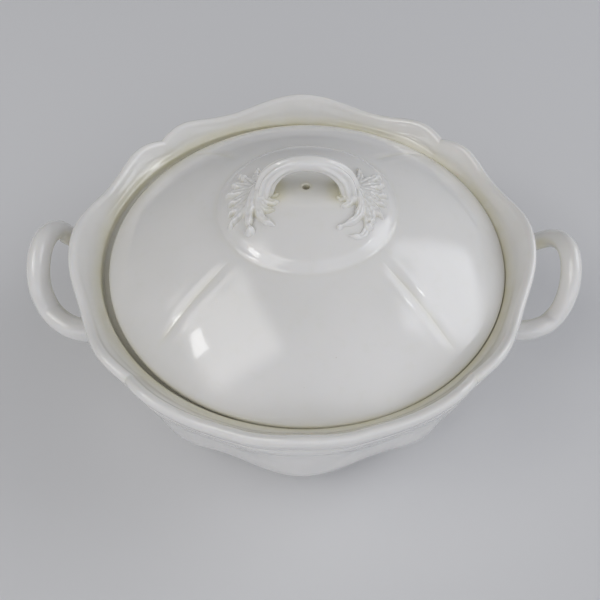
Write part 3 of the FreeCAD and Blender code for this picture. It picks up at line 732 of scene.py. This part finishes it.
def glaze(name, tint, pool_and_shade_colour, hollow_pool_and_shade):
    """Clear glossy glaze over cream earthenware, straw-coloured where thick, gently rolling.

    tint scales the straw colour; hollow_pool_and_shade paints thick glaze and shade into hollows.
    """
    material = bpy.data.materials.new(name)
    material.use_nodes = True
    material.node_tree.nodes.clear()
    nodes = Nodes(material.node_tree)
    position = nodes.add("ShaderNodeTexCoord").outputs["Object"]
    pool_and_shade = nodes.add("ShaderNodeAttribute", attribute_name="pool_and_shade").outputs["Fac"]
    bare = nodes.add("ShaderNodeAttribute", attribute_name="bare").outputs["Fac"]

    def noise(scale, detail=3.0, roughness=0.5):
        return nodes.add("ShaderNodeTexNoise",
                         {"Scale": scale, "Detail": detail, "Roughness": roughness,
                          "Vector": position}).outputs["Fac"]

    # body colour with slow mottling
    cream = nodes.mix(nodes.ramp(noise(22.0, detail=2.0), start=0.35, end=0.68),
                      (0.800, 0.788, 0.757, 1), (0.778, 0.768, 0.735, 1))
    mottle = nodes.ramp(noise(130.0, detail=4.0, roughness=0.6), start=0.50, end=0.80, high=0.35)
    cream = nodes.mix(mottle, cream, (0.745, 0.735, 0.67, 1))
    # thick glaze, and painted shade in the hollows that ambient occlusion finds
    occlusion = nodes.add("ShaderNodeAmbientOcclusion", {"Distance": 0.007}, samples=6)
    hollow = nodes.ramp(occlusion.outputs["AO"], start=0.25, end=0.95, low=1.0, high=0.0)
    thick = nodes.math("ADD", nodes.math("MULTIPLY", pool_and_shade, 0.80),
                       nodes.math("MULTIPLY", hollow, hollow_pool_and_shade), clamp=True)
    patchy = nodes.ramp(noise(90.0), start=0.3, end=0.7, low=0.75)
    thick = nodes.math("MULTIPLY", thick, patchy, clamp=True)
    cream = nodes.mix(nodes.math("MULTIPLY", thick, 0.85 * tint), cream, pool_and_shade_colour)
    # few tiny iron specks and pinholes
    cells = nodes.add("ShaderNodeTexVoronoi", {"Scale": 85.0, "Vector": position})
    dots = nodes.ramp(cells.outputs["Distance"], start=0.012, end=0.028, low=1.0, high=0.0)
    gate = nodes.ramp(noise(19.0, detail=1.0), start=0.60, end=0.66)
    specks = nodes.math("MULTIPLY", dots, gate)
    cream = nodes.mix(nodes.math("MULTIPLY", specks, 0.55), cream, (0.30, 0.25, 0.17, 1))
    # bare fired clay
    clay = nodes.mix(nodes.ramp(noise(700.0, detail=4.0, roughness=0.7), start=0.35, end=0.65),
                     (0.70, 0.63, 0.52, 1), (0.62, 0.55, 0.44, 1))

    gloss = nodes.ramp(noise(48.0), start=0.3, end=0.75, low=0.055, high=0.10)
    fine = nodes.ramp(noise(900.0, detail=2.0), start=0.45, end=0.8, high=0.03)
    roughness = nodes.math("ADD", nodes.math("ADD", gloss, fine),
                           nodes.math("MULTIPLY", bare, 0.65), clamp=True)

    # the glaze's slow roll, its orange peel, and the clay's grain where bare
    roll = nodes.add("ShaderNodeBump", {
        "Strength": 0.5, "Distance": 0.00045,
        "Height": noise(26.0, detail=1.5, roughness=0.4)}).outputs[0]
    peel = nodes.add("ShaderNodeBump", {
        "Strength": 0.25, "Distance": 0.00005,
        "Height": noise(260.0, detail=2.0), "Normal": roll}).outputs[0]
    grain = nodes.add("ShaderNodeBump", {
        "Strength": nodes.math("MULTIPLY", bare, 0.6), "Distance": 0.0002,
        "Height": noise(1500.0, roughness=0.6), "Normal": peel}).outputs[0]

    surface = nodes.add("ShaderNodeBsdfPrincipled", {
        "Base Color": nodes.mix(bare, cream, clay),
        "Roughness": roughness,
        "IOR": 1.5,
        "Specular IOR Level": 0.5,
        "Coat Weight": nodes.ramp(bare, start=0.0, end=0.6, low=0.55, high=0.0),
        "Coat Roughness": 0.03,
        "Coat IOR": 1.5,
        "Subsurface Weight": 0.12,
        "Subsurface Radius": (0.006, 0.005, 0.0035),
        "Subsurface Scale": 0.6,
        "Normal": grain,
        "Coat Normal": roll})
    nodes.add("ShaderNodeOutputMaterial", {"Surface": surface.outputs[0]})
    return material


# both glazes paint shade into their hollows, the relief's more strongly
ivory = glaze("ivory_glaze", tint=1.0, pool_and_shade_colour=(0.685, 0.640, 0.415, 1), hollow_pool_and_shade=0.16)
relief_glaze = glaze("relief_glaze", tint=1.1, pool_and_shade_colour=(0.58, 0.545, 0.33, 1), hollow_pool_and_shade=0.34)


# ------------------------------------------------------------------ pieces
def put(obj, material, body, node):
    obj.data.materials.append(material)
    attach(obj, body)
    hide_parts(node)


put(build_bowl(), ivory, "dish", "dish_bowl")
put(build_handle("side_handle_right", RIGHT), ivory, "dish", "handle_right")
put(build_handle("side_handle_left", LEFT), ivory, "dish", "handle_left")
put(build_lid(), ivory, "lid", "lid_shell")
put(build_loop(), relief_glaze, "lid", "finial_loop")
put(build_spray("leaves_right", RIGHT), relief_glaze, "lid", "leaf_spray_right")
put(build_spray("leaves_left", LEFT), relief_glaze, "lid", "leaf_spray_left")


# ------------------------------------------------------------------ stage
def build_floor(half=6.0):
    mesh = bpy.data.meshes.new("floor")
    mesh.from_pydata([(-half, -half, 0), (half, -half, 0), (half, half, 0), (-half, half, 0)],
                     [], [(0, 1, 2, 3)])
    obj = bpy.data.objects.new("floor", mesh)
    bpy.context.scene.collection.objects.link(obj)
    material = bpy.data.materials.new("floor_grey")
    material.use_nodes = True
    inputs = material.node_tree.nodes["Principled BSDF"].inputs
    inputs["Base Color"].default_value = (0.70, 0.70, 0.70, 1)
    inputs["Roughness"].default_value = 0.85
    inputs["Specular IOR Level"].default_value = 0.2
    mesh.materials.append(material)
    # just below the foot
    obj.location = (0, 0, -0.0002)


def soft_box(name, azimuth, elevation, size, power, distance=2.0, colour=(1, 1, 1), falloff=0.22):
    """Area light at a compass azimuth (from +Y towards +X) and elevation, facing the dish.

    falloff is the share of its size over which each edge dims, as a diffuser's does.
    """
    azimuth, elevation = math.radians(azimuth), math.radians(elevation)
    direction = Vector((math.sin(azimuth) * math.cos(elevation),
                        math.cos(azimuth) * math.cos(elevation), math.sin(elevation)))
    light = bpy.data.lights.new(name, "AREA")
    light.shape = "RECTANGLE"
    light.size, light.size_y = size
    light.energy = power
    light.color = colour
    obj = bpy.data.objects.new(name, light)
    obj.location = direction * distance + Vector((0, 0, 0.08))
    obj.rotation_euler = direction.to_track_quat("Z", "Y").to_euler()
    bpy.context.scene.collection.objects.link(obj)

    light.use_nodes = True
    nodes = Nodes(light.node_tree)
    emission = next(node for node in nodes.tree.nodes if node.type == "EMISSION")
    place = nodes.add("ShaderNodeNewGeometry").outputs["Parametric"]
    axes = nodes.add("ShaderNodeSeparateXYZ", {0: place}).outputs
    dimming = []
    for axis in (0, 1):
        centred = nodes.math("SUBTRACT", axes[axis], 0.5)
        from_middle = nodes.add("ShaderNodeMath", {0: centred}, operation="ABSOLUTE").outputs[0]
        dimming.append(nodes.ramp(from_middle, start=0.5, end=0.5 - falloff))
    nodes.tree.links.new(nodes.math("MULTIPLY", *dimming), emission.inputs["Strength"])


def build_world():
    """Soft walls of light round the set: each brightens towards its own direction."""
    walls = (  # axis, sign, colour
        (1, -1.0, (0.53, 0.55, 0.64)),      # front
        (0, 1.0, (0.735, 0.735, 0.745)),    # right
        (0, -1.0, (0.385, 0.38, 0.37)),     # left
        (1, 1.0, (0.05, 0.06, 0.085)))      # back
    world = bpy.data.worlds.new("studio")
    bpy.context.scene.world = world
    world.use_nodes = True
    nodes = Nodes(world.node_tree)
    direction = nodes.add("ShaderNodeTexCoord").outputs["Generated"]
    axes = nodes.add("ShaderNodeSeparateXYZ", {0: direction}).outputs
    glows = []
    for axis, sign, colour in walls:
        facing = nodes.math("MULTIPLY", axes[axis], sign, clamp=True)
        glows.append(nodes.add("ShaderNodeVectorMath", {0: colour, "Scale": facing},
                               operation="SCALE").outputs[0])
    total = glows[0]
    for glow in glows[1:]:
        total = nodes.add("ShaderNodeVectorMath", {0: total, 1: glow}, operation="ADD").outputs[0]
    background = world.node_tree.nodes["Background"]
    world.node_tree.links.new(total, background.inputs["Color"])
    background.inputs["Strength"].default_value = 1.0


def build_camera():
    """Looks down at the dish from the front."""
    camera = bpy.data.cameras.new("camera")
    camera.sensor_width = 36.0
    camera.lens = 35.1
    camera.clip_start = 0.01
    obj = bpy.data.objects.new("camera", camera)
    bpy.context.scene.collection.objects.link(obj)
    pitch, roll = math.radians(53.24), math.radians(-2.08)
    forward = Vector((0, math.cos(pitch), -math.sin(pitch)))
    level = Vector((1, 0, 0))
    upward = level.cross(forward)
    right = level * math.cos(roll) + upward * math.sin(roll)
    top = -level * math.sin(roll) + upward * math.cos(roll)
    aim = Matrix((right, top, -forward)).transposed()
    # the whole view is turned about the dish's axis, then tipped sideways about a low pivot
    yaw = Matrix.Rotation(math.radians(2.4), 3, "Z")
    position = yaw @ Vector((-0.002106, -0.2172852, 0.241218)) + Vector((0, 0, 0.078))
    pivot = Vector((0, 0, 0.08))
    lean = (Matrix.Translation(pivot) @ Matrix.Rotation(math.radians(-0.7), 4, "Y")
            @ Matrix.Translation(-pivot))
    obj.matrix_world = lean @ Matrix.Translation(position) @ (yaw @ aim).to_4x4()
    bpy.context.scene.camera = obj


build_floor()
soft_box("box_left", azimuth=-112, elevation=54, size=(1.9, 1.55), power=15.5,
         colour=(1.0, 0.985, 0.96))
soft_box("box_right", azimuth=78, elevation=33, size=(1.65, 1.6), power=13.1,
         colour=(0.93, 0.955, 1.02))
soft_box("pane_left", azimuth=-108, elevation=41, size=(0.50, 0.24), power=1.45,
         distance=2.2, falloff=0.10)
soft_box("pane_right", azimuth=84, elevation=46, size=(0.20, 0.24), power=0.45,
         distance=2.2, falloff=0.10)
soft_box("box_low", azimuth=176, elevation=20, size=(2.6, 0.9), power=4.0)
build_world()
build_camera()
view = bpy.context.scene.view_settings
view.view_transform = "Standard"
view.look = "None"
view.exposure = 0.0
